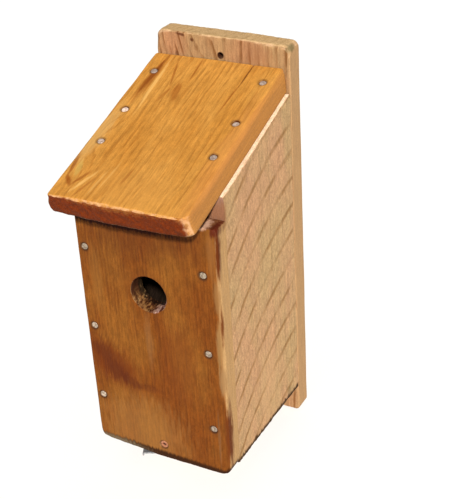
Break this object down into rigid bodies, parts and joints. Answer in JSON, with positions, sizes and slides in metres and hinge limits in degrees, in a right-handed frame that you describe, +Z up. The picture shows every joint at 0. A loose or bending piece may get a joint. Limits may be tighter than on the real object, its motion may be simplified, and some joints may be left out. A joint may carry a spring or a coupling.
{
  "type": "birdhouse",
  "caption": "Wooden nest box with a sloping roof, a round entrance hole, a long back board for hanging it on a wall, and a clean-out floor hinged at the back with a turn button.",
  "frame": {"origin": "middle of the back board's rear face, at mount back_face", "axes": "+Z up, +Y out of the rear face into the wall, the front board faces -Y, +X to the right seen from the front"},
  "size_m": [0.14, 0.2054, 0.3894],
  "materials": {
    "cedar_front": "planed, weathered reddish brown",
    "cedar_side": "rough sawn, pale",
    "cedar_back": "planed, pinkish tan",
    "cedar_roof": "planed, golden orange",
    "cedar_floor": "rough sawn",
    "nail_steel": "dull galvanised",
    "zinc_plate": "zinc plated",
    "coppered_steel": "coppered"
  },
  "bodies": {
    "box": {"front_board": "cedar_front", "left_side_board": "cedar_side", "right_side_board": "cedar_side", "back_board": "cedar_back", "roof_board": "cedar_roof", "front_nail_left_1": "nail_steel", "front_nail_left_2": "nail_steel", "front_nail_left_3": "nail_steel", "front_nail_right_1": "nail_steel", "front_nail_right_2": "nail_steel", "front_nail_right_3": "nail_steel", "roof_nail_left_1": "nail_steel", "roof_nail_left_2": "nail_steel", "roof_nail_left_3": "nail_steel", "roof_nail_right_1": "nail_steel", "roof_nail_right_2": "nail_steel", "roof_nail_right_3": "nail_steel", "back_nail_left_1": "nail_steel", "back_nail_left_2": "nail_steel", "back_nail_left_3": "nail_steel", "back_nail_right_1": "nail_steel", "back_nail_right_2": "nail_steel", "back_nail_right_3": "nail_steel", "floor_lock_screw": "coppered_steel", "button_screw": "zinc_plate", "hinge_back_leaf": "zinc_plate", "hinge_pin": "zinc_plate", "hinge_back_screw_left": "zinc_plate", "hinge_back_screw_right": "zinc_plate"},
    "floor": {"floor_board": "cedar_floor", "hinge_floor_leaf": "zinc_plate", "hinge_floor_screw_left": "zinc_plate", "hinge_floor_screw_right": "zinc_plate"},
    "button": {"turn_button": "zinc_plate"}
  },
  "joints": [
    {"name": "floor_hinge", "type": "hinge", "parent": "box", "child": "floor", "pos_m": [0, -0.0225, -0.1685], "axis": [1, 0, 0], "range_deg": [0, 90]},
    {"name": "button_turn", "type": "hinge", "parent": "box", "child": "button", "pos_m": [-0.0095, -0.161, -0.1673], "axis": [0, 0, -1], "continuous": true}
  ]
}
